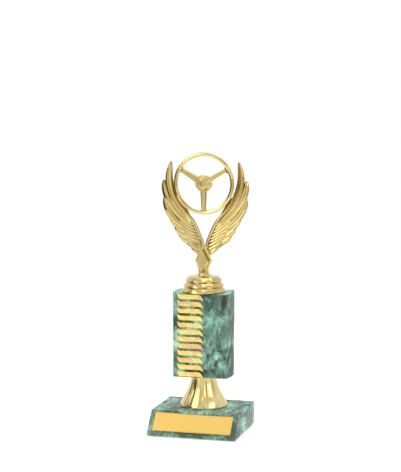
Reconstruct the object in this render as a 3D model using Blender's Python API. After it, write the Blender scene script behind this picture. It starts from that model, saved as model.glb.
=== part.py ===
"""Column trophy: a slanted-front marble base, a fluted gold riser, a marble-finish column with a
strip of foil bars, and a gold figure of a steering wheel between two wings. One threaded rod
clamps the stack together. Metres, +Z up, +X to the trophy's left-to-right, the front faces -Y.
The origin is on the table, under the middle of the base."""

import math

import bmesh
import bpy
from mathutils import Matrix, Vector
from mathutils.geometry import interpolate_bezier

# ---------------------------------------------------------------- driving sizes
GAP = 0.0003               # clearance kept between pieces that touch
FILM_GAP = 0.0001          # the same under foil and adhesive, on flat faces

# Base block, with a slanted front above a low lip
BASE_WIDTH = 0.089
BASE_DEPTH = 0.081
BASE_TOP_DEPTH = 0.0645
BASE_HEIGHT = 0.0222
BASE_LIP = 0.0032
BASE_EDGE = 0.0004         # polished edge
ROD_BEHIND_TOP_CENTRE = 0.0009

PAD_RADIUS = 0.005
PAD_THICK = 0.0007
PAD_INSET = 0.010          # pad centre to the block's edges

COUNTERBORE_CLEARANCE = 0.0030  # round the washer
COUNTERBORE_DEPTH = 0.0095

# Engraving plate on the slanted face
PLATE_SIDE_MARGIN = 0.00475
PLATE_BELOW_TOP = 0.0029   # top edge of the slanted face to the plate
PLATE_ABOVE_LIP = 0.0018
PLATE_THICK = 0.0008
PLATE_BORDER = 0.0012      # width of the bevelled border
ADHESIVE_THICK = 0.0003
ADHESIVE_MARGIN = 0.0015

# Threaded rod and what screws on it
ROD_RADIUS = 0.003
ROD_CHAMFER = 0.0005
ROD_CLEARANCE = 0.0005     # round the rod in plain holes
ROD_RUNNING_GAP = 0.0002   # round the rod in the nut and the insert
ROD_ABOVE_TABLE = 0.0018
ROD_IN_FIGURE = 0.0105     # length of rod inside the figure
NUT_WALL = 0.0018          # from its hole to a flat
NUT_HEIGHT = 0.005
WASHER_RADIUS = 0.009
WASHER_THICK = 0.0012
INSERT_WALL = 0.0018
INSERT_LENGTH = 0.009
INSERT_KNURL = 0.0003

# Riser, a hollow fluted bell
RISER_HEIGHT = 0.0309
RISER_TOP_RADIUS = 0.0127
RISER_SHOULDER_RADIUS = 0.0193
RISER_FOOT_RADIUS = 0.0238
RISER_SHOULDER_DROP = 0.0208   # from the riser's top
RISER_RIM = 0.0013
RISER_WALL = 0.0012
RISER_FLUTES = 24
RISER_FLUTE_DEPTH = 0.0003

# Column: flat front and back, bowed sides
COLUMN_HEIGHT = 0.0832
COLUMN_FLAT = 0.0532       # width of the flat front
COLUMN_DEPTH = 0.0380
COLUMN_BOW = 0.0033        # how far each side stands out
COLUMN_WALL = 0.0020
COLUMN_TURN = 2.5          # degrees: it stands slightly turned on the rod
CAP_THICK = 0.0035
CAP_CLEARANCE = 0.0002

# Foil bars on the front of the column
BAR_COUNT = 12
BAR_LENGTH = 0.0266
BAR_HEIGHT = 0.0044
BAR_HORN = 0.0013          # horn above the bar's top edge
BAR_TAIL = 0.0019          # tail below its bottom edge
BAR_FROM_EDGE = 0.0038     # column's left edge to the horn
BAR_FIRST_DROP = 0.0006    # column's top to the first bar's top edge
BAR_LAST_RISE = 0.0009     # column's underside to the last bar's bottom edge
BAR_MARGIN = 0.0001        # kept to the ends of the column
FOIL_THICK = 0.0002

# Round base of the figure: radius and height of each step's foot, then of the disc
STEP_FEET = ((0.0218, 0.0008), (0.0200, 0.0062), (0.0182, 0.0112))
STEP_TOP_RADII = (0.0192, 0.0174, 0.0155)
STEP_TOP_HEIGHTS = (0.0045, 0.0097, 0.0150)
STEP_LIP_INSET = 0.0008
DISC_HUB_RADIUS = 0.0076
DISC_RISE = 0.0026
FOOT_RADIUS = 0.0064
FIGURE_BASE_HEIGHT = 0.0188
FIGURE_WALL = 0.0018
BOSS_WALL = 0.0025         # round the insert

# Stem and lozenge, measured from the figure's underside
STEM_HEIGHT = 0.0277
STEM_WAIST = 0.0053
STEM_SIDE = 0.0080
STEM_NECK = 0.0064
STEM_HEAD = 0.0118
STEM_FRONT = 0.0025        # front of the stem before the rod axis
STEM_BACK = 0.0020         # back of the stem behind the rod axis
LOZENGE_HALF_WIDTH = 0.0062
LOZENGE_HEIGHT = 0.0238
LOZENGE_THICK = 0.0042
LOZENGE_EDGE = 0.0009

# Steering wheel
WHEEL_CENTRE = 0.1076      # above the figure's underside
RIM_RADIUS = 0.02885       # to the middle of the rim's tube
RIM_TUBE = 0.00195
HUB_RADIUS = 0.0085
HUB_THICK = 0.0038
HUB_DISH = 0.0007
HUB_LIP = 0.0029           # ring of the hub outside its cap
CAP_RISE = 0.0016
SPOKE_ROOT = 0.0064        # width at the hub
SPOKE_TIP = 0.0043         # width near the rim
SPOKE_THICK = 0.0030
SPOKE_ANGLES = (30.0, 150.0, 270.0)

# Wings
WING_THICK = 0.0042
WING_EDGE = 0.0009
WING_BEYOND_RIM = 0.0148   # how far a wing stands out past the wheel
WING_TIP_RISE = 0.0208     # wing tip above the wheel's centre
WING_ROOT_SHARE = 0.70     # of the stem's height, where the wings start
WING_BEHIND_RIM = (4.0, -8.0, -20.0, -32.0, -44.0)  # degrees round the wheel

ROUND = 64                 # sides of a large round piece
SMALL_ROUND = 24           # sides of a small one

# ---------------------------------------------------------------- worked out
Z_BASE = PAD_THICK + GAP
Z_RISER = Z_BASE + BASE_HEIGHT + GAP
Z_COLUMN = Z_RISER + RISER_HEIGHT + GAP
Z_FIGURE = Z_COLUMN + COLUMN_HEIGHT + GAP
Z_STEM = Z_FIGURE + FIGURE_BASE_HEIGHT + GAP
Z_WHEEL = Z_FIGURE + WHEEL_CENTRE
BASE_BACK = BASE_DEPTH / 2
BASE_TOP_FRONT = BASE_BACK - BASE_TOP_DEPTH
ROD_Y = (BASE_BACK + BASE_TOP_FRONT) / 2 + ROD_BEHIND_TOP_CENTRE
HOLE_RADIUS = ROD_RADIUS + ROD_CLEARANCE
ROD_FIT_RADIUS = ROD_RADIUS + ROD_RUNNING_GAP
NUT_FLAT = ROD_FIT_RADIUS + NUT_WALL
INSERT_RADIUS = ROD_FIT_RADIUS + INSERT_WALL
BOSS_RADIUS = INSERT_RADIUS + GAP + BOSS_WALL
COUNTERBORE_RADIUS = WASHER_RADIUS + COUNTERBORE_CLEARANCE
CAP_RADIUS = HUB_RADIUS - HUB_LIP
BAR_PITCH = (COLUMN_HEIGHT - BAR_FIRST_DROP - BAR_HEIGHT - BAR_LAST_RISE) / (BAR_COUNT - 1)
Z_WING = Z_STEM + WING_ROOT_SHARE * STEM_HEIGHT
WING_HEIGHT = Z_WHEEL + WING_TIP_RISE - Z_WING
WING_HALF_SPAN = RIM_RADIUS + RIM_TUBE + WING_BEYOND_RIM
WING_FRONT = RIM_TUBE + GAP


# ---------------------------------------------------------------- materials
def material(name, colour, roughness, metallic=0.0):
    made = bpy.data.materials.new(name)
    made.use_nodes = True
    shader = made.node_tree.nodes["Principled BSDF"]
    shader.inputs["Base Color"].default_value = (*colour, 1.0)
    shader.inputs["Roughness"].default_value = roughness
    shader.inputs["Metallic"].default_value = metallic
    made.diffuse_color = (*colour, 1.0)
    return made


# ---------------------------------------------------------------- mesh helpers
def put(name, bm, finish, parent, smooth=True):
    """Makes the object of a bmesh, with its normals out, on its parent."""
    bmesh.ops.recalc_face_normals(bm, faces=bm.faces)
    mesh = bpy.data.meshes.new(name)
    bm.to_mesh(mesh)
    bm.free()
    return put_mesh(name, mesh, finish, parent, smooth)


def put_mesh(name, mesh, finish, parent, smooth=True):
    """Makes an object of a mesh, with its material, and links it to the scene."""
    if not mesh.materials:
        mesh.materials.append(finish)
    if smooth:
        mesh.shade_smooth()
        mesh.set_sharp_from_angle(angle=math.radians(30))
    made = bpy.data.objects.new(name, mesh)
    made.parent = parent
    bpy.context.scene.collection.objects.link(made)
    return made


def axis_empty(name, parent=None, location=(0, 0, 0), turn=0.0):
    """An empty that pieces hang on, which stands on a joint's axis."""
    made = bpy.data.objects.new(name, None)
    made.parent = parent
    made.location = location
    made.rotation_euler.z = math.radians(turn)
    made.empty_display_size = 0.01
    bpy.context.scene.collection.objects.link(made)
    return made


def prism(points, low, high, axis="Z"):
    """A solid of one outline, from low to high along an axis. Points are (x, y), or (x, z) for Y."""
    bm = bmesh.new()
    if axis == "Y":
        corners = [Vector((x, low, z)) for x, z in points]
        along = Vector((0, high - low, 0))
    else:
        corners = [Vector((x, y, low)) for x, y in points]
        along = Vector((0, 0, high - low))
    face = bm.faces.new([bm.verts.new(corner) for corner in corners])
    grown = bmesh.ops.extrude_face_region(bm, geom=[face])
    moved = [item for item in grown["geom"] if isinstance(item, bmesh.types.BMVert)]
    bmesh.ops.translate(bm, verts=moved, vec=along)
    return bm


def ring_prism(outer, inner, low, high):
    """A tube between two outlines with as many points each, from low to high."""
    bm = bmesh.new()
    loops = []
    for outline, height in ((outer, low), (outer, high), (inner, high), (inner, low)):
        loops.append([bm.verts.new((x, y, height)) for x, y in outline])
    count = len(outer)
    for a, b in zip(loops, loops[1:] + loops[:1]):
        for i in range(count):
            j = (i + 1) % count
            bm.faces.new((a[i], a[j], b[j], b[i]))
    return bm


def turned(profile, sides, radius_at=None):
    """A solid turned about Z from a closed profile of (radius, z). A radius of 0 is a pole."""
    bm = bmesh.new()
    rings = []
    for radius, z in profile:
        if radius == 0:
            rings.append([bm.verts.new((0, 0, z))] * sides)
            continue
        ring = []
        for k in range(sides):
            angle = 2 * math.pi * k / sides
            r = radius_at(radius, z, angle) if radius_at else radius
            ring.append(bm.verts.new((r * math.cos(angle), r * math.sin(angle), z)))
        rings.append(ring)
    closes = profile[0][0] != 0
    pairs = list(zip(rings, rings[1:]))
    if closes:
        pairs.append((rings[-1], rings[0]))
    for a, b in pairs:
        for k in range(sides):
            j = (k + 1) % sides
            corners = []
            for vert in (a[k], a[j], b[j], b[k]):
                if vert not in corners:
                    corners.append(vert)
            if len(corners) > 2:
                bm.faces.new(corners)
    return bm


def circle(radius, sides):
    step = 2 * math.pi / sides
    return [(radius * math.cos(k * step), radius * math.sin(k * step)) for k in range(sides)]


def curve_points(start, handle_1, handle_2, end, count):
    """Points of one Bezier stretch in a plane, both ends included."""
    ends = [Vector((*point, 0)) for point in (start, handle_1, handle_2, end)]
    return [(p.x, p.y) for p in interpolate_bezier(*ends, count)]


def cutter(name, bm, parent):
    """A shape that only cuts or joins others. It isn't part of the trophy."""
    made = put(name, bm, None, parent, smooth=False)
    made.hide_render = True
    made.display_type = "WIRE"
    return made


def boolean(target, other, operation="DIFFERENCE"):
    modifier = target.modifiers.new(f"{operation.lower()}_{other.name}", "BOOLEAN")
    modifier.operation = operation
    modifier.object = other
    modifier.solver = "EXACT"


def edge_bevel(target, width, segments=1):
    modifier = target.modifiers.new("edges", "BEVEL")
    modifier.width = width
    modifier.segments = segments
    modifier.limit_method = "ANGLE"
    modifier.angle_limit = math.radians(25)


# ---------------------------------------------------------------- base
def make_base(parent, rod_axis, marble, gold_plate, tape, felt):
    front = -BASE_DEPTH / 2
    top = Z_BASE + BASE_HEIGHT
    side = [
        (BASE_BACK, Z_BASE),
        (BASE_BACK, top),
        (BASE_TOP_FRONT, top),
        (front, Z_BASE + BASE_LIP),
        (front, Z_BASE),
    ]
    bm = bmesh.new()
    face = bm.faces.new([bm.verts.new((-BASE_WIDTH / 2, y, z)) for y, z in side])
    grown = bmesh.ops.extrude_face_region(bm, geom=[face])
    moved = [item for item in grown["geom"] if isinstance(item, bmesh.types.BMVert)]
    bmesh.ops.translate(bm, verts=moved, vec=(BASE_WIDTH, 0, 0))
    block = put("base_block", bm, marble, parent, smooth=False)
    edge_bevel(block, BASE_EDGE)
    hole_profile = [
        (0, top + GAP),
        (HOLE_RADIUS, top + GAP),
        (HOLE_RADIUS, Z_BASE + COUNTERBORE_DEPTH),
        (COUNTERBORE_RADIUS, Z_BASE + COUNTERBORE_DEPTH),
        (COUNTERBORE_RADIUS, Z_BASE - GAP),
        (0, Z_BASE - GAP),
    ]
    boolean(block, cutter("base_hole_cutter", turned(hole_profile, SMALL_ROUND * 2), rod_axis))

    pad_x = BASE_WIDTH / 2 - PAD_INSET
    pad_y = BASE_DEPTH / 2 - PAD_INSET
    pad = prism(circle(PAD_RADIUS, SMALL_ROUND), 0.0, PAD_THICK)
    first = put("foot_pad_1", pad, felt, parent)
    first.location = (-pad_x, -pad_y, 0)
    for number, (x, y) in enumerate(((pad_x, -pad_y), (-pad_x, pad_y), (pad_x, pad_y)), 2):
        other = put_mesh(f"foot_pad_{number}", first.data, felt, parent, smooth=False)
        other.location = (x, y, 0)

    # The slanted face: a frame whose Z is its outward normal and whose Y runs up the slope
    slope = Vector((0, BASE_TOP_FRONT - front, BASE_HEIGHT - BASE_LIP))
    up_slope = slope.normalized()
    normal = Vector((1, 0, 0)).cross(up_slope)
    top_edge = Vector((0, BASE_TOP_FRONT, top))
    plate_height = slope.length - PLATE_BELOW_TOP - PLATE_ABOVE_LIP
    centre = top_edge - up_slope * (PLATE_BELOW_TOP + plate_height / 2)
    face_axes = Matrix((Vector((1, 0, 0)), up_slope, normal)).transposed().to_4x4()
    on_slope = Matrix.Translation(centre) @ face_axes

    half_x = BASE_WIDTH / 2 - PLATE_SIDE_MARGIN
    half_y = plate_height / 2
    sheet = [(-half_x, -half_y), (half_x, -half_y), (half_x, half_y), (-half_x, half_y)]
    inset = PLATE_BORDER
    low = 2 * FILM_GAP + ADHESIVE_THICK
    bm = prism(sheet, low, low + PLATE_THICK / 2)
    bm.faces.ensure_lookup_table()
    upper = max(bm.faces, key=lambda f: f.calc_center_median().z)
    bmesh.ops.inset_region(bm, faces=[upper], thickness=inset, depth=0.0)
    bmesh.ops.translate(bm, verts=upper.verts, vec=(0, 0, PLATE_THICK / 2))
    plate = put("engraving_plate", bm, gold_plate, parent, smooth=False)
    plate.matrix_local = on_slope

    half_x -= ADHESIVE_MARGIN
    half_y -= ADHESIVE_MARGIN
    sheet = [(-half_x, -half_y), (half_x, -half_y), (half_x, half_y), (-half_x, half_y)]
    bm = prism(sheet, FILM_GAP, FILM_GAP + ADHESIVE_THICK)
    adhesive = put("plate_adhesive", bm, tape, parent, smooth=False)
    adhesive.matrix_local = on_slope


# ---------------------------------------------------------------- rod, washer, nut, insert
def make_rod_parts(rod_axis, figure_axis, steel, brass):
    top = Z_FIGURE + ROD_IN_FIGURE
    low = ROD_ABOVE_TABLE
    profile = [
        (0, top),
        (ROD_RADIUS - ROD_CHAMFER, top),
        (ROD_RADIUS, top - ROD_CHAMFER),
        (ROD_RADIUS, low + ROD_CHAMFER),
        (ROD_RADIUS - ROD_CHAMFER, low),
        (0, low),
    ]
    put("tie_rod", turned(profile, SMALL_ROUND), steel, rod_axis)

    hole = circle(ROD_FIT_RADIUS, SMALL_ROUND)
    washer_top = Z_BASE + COUNTERBORE_DEPTH - GAP
    washer_low = washer_top - WASHER_THICK
    washer = ring_prism(circle(WASHER_RADIUS, SMALL_ROUND), hole, washer_low, washer_top)
    put("clamp_washer", washer, steel, rod_axis)

    nut_top = washer_low - GAP
    hexagon = []
    for k in range(SMALL_ROUND):
        angle = 2 * math.pi * k / SMALL_ROUND
        from_flat = (angle % (math.pi / 3)) - math.pi / 6
        radius = NUT_FLAT / math.cos(from_flat)
        hexagon.append((radius * math.cos(angle), radius * math.sin(angle)))
    put("clamp_nut", ring_prism(hexagon, hole, nut_top - NUT_HEIGHT, nut_top), steel, rod_axis)

    knurled = []
    for k in range(SMALL_ROUND):
        radius = INSERT_RADIUS - (k % 2) * INSERT_KNURL
        angle = 2 * math.pi * k / SMALL_ROUND
        knurled.append((radius * math.cos(angle), radius * math.sin(angle)))
    low = Z_FIGURE + GAP
    put("rod_insert", ring_prism(knurled, hole, low, low + INSERT_LENGTH), brass, figure_axis)


# ---------------------------------------------------------------- riser
def make_riser(axis, gold):
    top = Z_RISER + RISER_HEIGHT
    shoulder = (RISER_SHOULDER_RADIUS, top - RISER_SHOULDER_DROP)
    foot = (RISER_FOOT_RADIUS, Z_RISER + RISER_RIM)
    flare = RISER_SHOULDER_RADIUS - RISER_TOP_RADIUS
    upper = curve_points(
        (RISER_TOP_RADIUS, top),
        (RISER_TOP_RADIUS + 0.09 * flare, top - 0.38 * RISER_SHOULDER_DROP),
        (RISER_TOP_RADIUS + 0.50 * flare, top - 0.765 * RISER_SHOULDER_DROP),
        shoulder,
        9,
    )
    fall = shoulder[1] - foot[1]
    spread = RISER_FOOT_RADIUS - RISER_SHOULDER_RADIUS
    lower = curve_points(
        shoulder,
        (shoulder[0] + 0.36 * spread, shoulder[1] - 0.28 * fall),
        (shoulder[0] + 0.95 * spread, shoulder[1] - 0.74 * fall),
        foot,
        6,
    )
    outside = upper + lower[1:] + [(RISER_FOOT_RADIUS, Z_RISER)]
    inside = [(radius - RISER_WALL, z) for radius, z in reversed(outside[1:])]
    inside.append((RISER_TOP_RADIUS - RISER_WALL, top - RISER_WALL))
    hole = [(HOLE_RADIUS, top - RISER_WALL), (HOLE_RADIUS, top)]

    def fluted(radius, z, angle):
        """Concave flutes, deepest on the flare, which run out at the top and above the rim."""
        if radius < RISER_TOP_RADIUS:
            return radius
        share = (top - z) / (top - foot[1])
        deep = math.sin(math.pi * min(max(share, 0.0), 1.0)) ** 0.5
        return radius - RISER_FLUTE_DEPTH * deep * abs(math.sin(angle * RISER_FLUTES / 2))

    put("riser", turned(outside + inside + hole, RISER_FLUTES * 3, fluted), gold, axis)


# ---------------------------------------------------------------- column
def column_outline(inset=0.0):
    """Flat front and back, and sides that bow out, seen from above, counter-clockwise."""
    half = COLUMN_FLAT / 2 - inset
    deep = COLUMN_DEPTH / 2 - inset
    steps = 12
    side = []
    for k in range(steps + 1):
        y = -deep + 2 * deep * k / steps
        side.append((half + COLUMN_BOW * (1 - (y / deep) ** 2), y))
    return side + [(-x, -y) for x, y in side]


def make_column(axis, marble, foil):
    top = Z_COLUMN + COLUMN_HEIGHT
    tube = ring_prism(column_outline(), column_outline(COLUMN_WALL), Z_COLUMN, top)
    put("column_tube", tube, marble, axis)

    plug = column_outline(COLUMN_WALL + CAP_CLEARANCE)
    bore = prism(circle(HOLE_RADIUS, SMALL_ROUND), Z_COLUMN - GAP, top + GAP)
    bore = cutter("column_hole_cutter", bore, axis)
    low_cap = put("column_bottom_cap", prism(plug, Z_COLUMN, Z_COLUMN + CAP_THICK), marble, axis)
    top_cap = put("column_top_cap", prism(plug, top - CAP_THICK, top), marble, axis)
    boolean(low_cap, bore)
    boolean(top_cap, bore)

    front = -COLUMN_DEPTH / 2 - FILM_GAP
    left = -COLUMN_FLAT / 2 + BAR_FROM_EDGE
    for number in range(BAR_COUNT):
        edge = top - BAR_FIRST_DROP - number * BAR_PITCH
        limits = (Z_COLUMN + BAR_MARGIN, top - BAR_MARGIN)
        bar = prism(bar_outline(left, edge, limits), front - FOIL_THICK, front, axis="Y")
        put(f"foil_bar_{number + 1:02d}", bar, foil, axis, smooth=False)


def bar_outline(left, edge, limits):
    """One foil bar: a horn up at its left, a straight body, and a tail that sweeps down."""
    bottom = edge - BAR_HEIGHT
    right = left + BAR_LENGTH
    flank = 0.15 * BAR_LENGTH
    sweep = 0.20 * BAR_LENGTH
    horn = (left, edge + BAR_HORN)
    tail = (right, bottom - BAR_TAIL)
    outline = curve_points(
        horn,
        (left + 0.1 * flank, edge - 0.5 * BAR_HEIGHT),
        (left + 0.4 * flank, bottom),
        (left + flank, bottom),
        6,
    )
    outline += curve_points(
        (right - sweep, bottom),
        (right - 0.5 * sweep, bottom),
        (right - 0.3 * sweep, bottom - 0.3 * BAR_TAIL),
        tail,
        5,
    )
    outline += curve_points(
        tail,
        (right - 0.1 * sweep, bottom + 0.2 * BAR_HEIGHT),
        (right - 0.5 * sweep, edge),
        (right - sweep, edge),
        7,
    )[1:]
    outline.append((left + flank, edge))
    outline.append((left + 0.5 * flank, edge + 0.3 * BAR_HORN))
    return [(x, min(max(z, limits[0]), limits[1])) for x, z in outline]


# ---------------------------------------------------------------- figure
def make_figure_base(axis, gold):
    hub_z = STEP_TOP_HEIGHTS[-1] + DISC_RISE
    steps = []
    for (foot, foot_z), top, top_z in zip(STEP_FEET, STEP_TOP_RADII, STEP_TOP_HEIGHTS):
        steps += [(foot - STEP_LIP_INSET, foot_z - STEP_LIP_INSET), (foot, foot_z)]
        steps += [(foot, foot_z + STEP_LIP_INSET / 2), (top, top_z)]
    outside = steps + [(DISC_HUB_RADIUS, hub_z), (FOOT_RADIUS, FIGURE_BASE_HEIGHT)]
    pocket_r = INSERT_RADIUS + GAP
    pocket_top = INSERT_LENGTH + ROD_IN_FIGURE / 4
    hollow_top = STEP_TOP_HEIGHTS[0] - FIGURE_WALL
    hollow = STEP_TOP_RADII[0] - FIGURE_WALL
    upper_top = STEP_TOP_HEIGHTS[-1] - FIGURE_WALL
    upper = STEP_TOP_RADII[-1] - FIGURE_WALL
    underside = [
        (0, pocket_top),
        (pocket_r, pocket_top),
        (pocket_r, 0),
        (BOSS_RADIUS, 0),
        (BOSS_RADIUS, upper_top),
        (upper, upper_top),
        (hollow, hollow_top),
        (hollow, 0),
    ]
    profile = underside + outside + [(0, FIGURE_BASE_HEIGHT)]
    profile = [(radius, z + Z_FIGURE) for radius, z in profile]
    put("figure_base", turned(profile, ROUND), gold, axis)


def mirrored(half):
    """A whole outline from its right half, which runs from bottom to top."""
    return half + [(-x, z) for x, z in reversed(half) if x > 0]


def make_stem(axis, gold):
    low = Z_STEM
    h = STEM_HEIGHT
    half = [
        (FOOT_RADIUS, low),
        (STEM_WAIST, low + 0.11 * h),
        (STEM_WAIST + 0.0006, low + 0.20 * h),
        (STEM_SIDE, low + 0.43 * h),
        (STEM_NECK, low + 0.60 * h),
        (STEM_NECK + 0.0010, low + 0.70 * h),
        (STEM_HEAD, low + 0.88 * h),
        (0, low + h),
    ]
    stem = put("stem", prism(mirrored(half), -STEM_FRONT, STEM_BACK, axis="Y"), gold, axis)
    edge_bevel(stem, 0.0008, 2)

    middle = low + LOZENGE_HEIGHT / 2 + GAP
    diamond = [
        (0, middle - LOZENGE_HEIGHT / 2),
        (LOZENGE_HALF_WIDTH, middle),
        (0, middle + LOZENGE_HEIGHT / 2),
        (-LOZENGE_HALF_WIDTH, middle),
    ]
    back = -STEM_FRONT - GAP
    bm = prism(diamond, back - LOZENGE_THICK + LOZENGE_EDGE, back, axis="Y")
    front = min(bm.faces, key=lambda f: f.calc_center_median().y)
    bmesh.ops.inset_region(bm, faces=[front], thickness=LOZENGE_EDGE, depth=0.0)
    bmesh.ops.translate(bm, verts=front.verts, vec=(0, -LOZENGE_EDGE, 0))
    put("stem_lozenge", bm, gold, axis, smooth=False)


def wing_outline():
    """The right wing from the front. Shares of its half span and of its height above the root."""
    scallops = [
        ((0.15, 0.000), (0.36, 0.055)),
        ((0.46, 0.100), (0.56, 0.143)),
        ((0.62, 0.188), (0.66, 0.230)),
        ((0.71, 0.252), (0.77, 0.300)),
        ((0.80, 0.345), (0.90, 0.425)),
        ((0.95, 0.490), (0.945, 0.590)),
        ((1.00, 0.670), (0.995, 0.735)),
        ((0.935, 0.800), (0.915, 0.865)),
        ((0.87, 0.925), (0.81, 0.975)),
    ]
    outer = [point for pair in scallops for point in pair]
    tip = [(0.765, 1.0), (0.73, 0.985)]
    above_wheel = [(0.733, 0.92), (0.72, 0.86)]
    inner = [
        (0.39, 0.43),
        (0.31, 0.39),
        (0.255, 0.36),
        (0.205, 0.32),
        (0.17, 0.275),
        (0.14, 0.22),
        (0.095, 0.16),
        (0.05, 0.105),
    ]
    root = [(0.005, 0.075), (0.005, 0.0)]

    def placed(shares):
        return [(x * WING_HALF_SPAN, Z_WING + z * WING_HEIGHT) for x, z in shares]

    # Between the tip and the wrist the inner edge runs behind the middle of the wheel's rim
    behind_rim = []
    for degrees in WING_BEHIND_RIM:
        angle = math.radians(degrees)
        x = RIM_RADIUS * math.cos(angle)
        behind_rim.append((x, Z_WHEEL + RIM_RADIUS * math.sin(angle)))
    return placed(outer + tip + above_wheel) + behind_rim + placed(inner + root)


def make_wing(name, side, axis, gold):
    outline = [(side * x, z) for x, z in wing_outline()]
    wing = prism(outline, WING_FRONT, WING_FRONT + WING_THICK, axis="Y")
    wing = put(name, wing, gold, axis)
    edge_bevel(wing, WING_EDGE, 1)


def make_wheel(axis, gold):
    """Built flat about Z, then stood up so that its front faces -Y."""
    upright = Matrix.Translation((0, 0, Z_WHEEL)) @ Matrix.Rotation(math.pi / 2, 4, "X")
    tube_sides = 12
    tube = []
    for k in range(tube_sides):
        angle = 2 * math.pi * k / tube_sides
        tube.append((RIM_RADIUS + RIM_TUBE * math.cos(angle), RIM_TUBE * math.sin(angle)))
    rim = put("wheel_rim", turned(tube, ROUND), gold, axis)
    rim.matrix_local = upright

    # Z here is towards the front
    front = HUB_THICK / 2
    hub = [
        (0, front - HUB_DISH),
        (CAP_RADIUS + GAP, front - HUB_DISH),
        (CAP_RADIUS + 3 * GAP, front),
        (HUB_RADIUS - HUB_DISH, front),
        (HUB_RADIUS, front - HUB_DISH),
        (HUB_RADIUS, -front + HUB_DISH),
        (HUB_RADIUS - HUB_DISH, -front),
        (0, -front),
    ]
    spokes = put("wheel_spokes", turned(hub, ROUND // 2), gold, axis)
    spokes.matrix_local = upright
    reach = RIM_RADIUS - RIM_TUBE - GAP
    start = HUB_RADIUS / 2
    neck = reach - SPOKE_TIP / 2
    arm = [
        (start, -SPOKE_ROOT / 2),
        (neck, -SPOKE_TIP / 2),
        (reach, -SPOKE_TIP * 0.72),
        (reach, SPOKE_TIP * 0.72),
        (neck, SPOKE_TIP / 2),
        (start, SPOKE_ROOT / 2),
    ]
    for number, angle in enumerate(SPOKE_ANGLES, 1):
        bm = prism(arm, -SPOKE_THICK / 2, SPOKE_THICK / 2)
        bmesh.ops.bevel(
            bm,
            geom=[e for e in bm.edges if abs(e.verts[0].co.z - e.verts[1].co.z) < 1e-6],
            offset=SPOKE_THICK / 5,
            segments=1,
            affect="EDGES",
        )
        bmesh.ops.rotate(bm, verts=bm.verts, matrix=Matrix.Rotation(math.radians(angle), 3, "Z"))
        shape = cutter(f"spoke_{number}_shape", bm, axis)
        shape.matrix_local = upright
        boolean(spokes, shape, "UNION")

    cap = [(0, front - HUB_DISH + GAP)]
    cap.append((CAP_RADIUS, front - HUB_DISH + GAP))
    dome_steps = 5
    for k in range(dome_steps):
        angle = math.pi / 2 * k / dome_steps
        rise = front + CAP_RISE * math.sin(angle)
        cap.append((CAP_RADIUS * math.cos(angle), rise))
    cap.append((0, front + CAP_RISE))
    hub_cap = put("wheel_hub_cap", turned(cap, ROUND // 2), gold, axis)
    hub_cap.matrix_local = upright


def main():
    for old in list(bpy.data.objects):
        bpy.data.objects.remove(old)
    stone = material("green_marble", (0.29, 0.45, 0.37), 0.18)
    column_marble = material("marble_film", (0.30, 0.47, 0.39), 0.22)
    gold = material("gold_metallised", (0.83, 0.70, 0.36), 0.14, 1.0)
    plate_gold = material("gold_plate", (0.93, 0.74, 0.33), 0.30, 1.0)
    foil = material("holographic_foil", (0.97, 0.78, 0.38), 0.25, 0.9)
    steel = material("zinc_steel", (0.62, 0.63, 0.65), 0.32, 1.0)
    brass = material("insert_brass", (0.78, 0.60, 0.28), 0.30, 1.0)
    tape = material("tape", (0.80, 0.80, 0.76), 0.70)
    felt = material("pad_felt", (0.05, 0.10, 0.07), 0.95)

    base_axis = axis_empty("base_frame")
    rod_axis = axis_empty("rod_axis", base_axis, (0, ROD_Y, 0))
    riser_axis = axis_empty("riser_turn_axis", rod_axis)
    column_axis = axis_empty("column_turn_axis", rod_axis, turn=COLUMN_TURN)
    figure_axis = axis_empty("figure_turn_axis", rod_axis)

    make_base(base_axis, rod_axis, stone, plate_gold, tape, felt)
    make_rod_parts(rod_axis, figure_axis, steel, brass)
    make_riser(riser_axis, gold)
    make_column(column_axis, column_marble, foil)
    make_figure_base(figure_axis, gold)
    make_stem(figure_axis, gold)
    make_wing("left_wing", -1, figure_axis, gold)
    make_wing("right_wing", 1, figure_axis, gold)
    make_wheel(figure_axis, gold)


main()
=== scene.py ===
# %% [markdown]
# # A column trophy
# The trophy is a stack on one threaded rod: a marble block with a slanted front, a fluted gold
# bell, a marble column with foil bars, and a gold figure of a steering wheel between two wings.
# The imported model gives the fixed frame. Every new piece takes its place from that frame.

# %% Load the frame
import math

import bmesh
import bpy
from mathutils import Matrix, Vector


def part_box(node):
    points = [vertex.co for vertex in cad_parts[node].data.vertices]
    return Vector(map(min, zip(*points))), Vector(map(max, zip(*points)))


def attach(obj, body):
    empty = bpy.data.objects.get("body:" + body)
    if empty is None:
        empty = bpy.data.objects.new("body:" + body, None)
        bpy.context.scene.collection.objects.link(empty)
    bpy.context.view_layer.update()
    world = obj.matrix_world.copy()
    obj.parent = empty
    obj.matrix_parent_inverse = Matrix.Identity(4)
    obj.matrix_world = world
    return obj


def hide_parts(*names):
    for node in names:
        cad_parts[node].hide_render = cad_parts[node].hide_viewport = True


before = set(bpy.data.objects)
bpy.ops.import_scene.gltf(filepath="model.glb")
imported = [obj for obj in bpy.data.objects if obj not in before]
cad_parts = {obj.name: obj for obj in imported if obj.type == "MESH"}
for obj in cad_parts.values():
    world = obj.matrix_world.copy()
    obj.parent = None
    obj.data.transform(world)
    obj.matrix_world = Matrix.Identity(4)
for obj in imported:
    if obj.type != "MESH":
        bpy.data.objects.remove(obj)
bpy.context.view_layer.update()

# %% [markdown]
# The rod stands through the middle of every piece above the block, so its middle line is the
# axis that all turned pieces share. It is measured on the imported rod, not typed in, and each
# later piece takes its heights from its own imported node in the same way.

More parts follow.
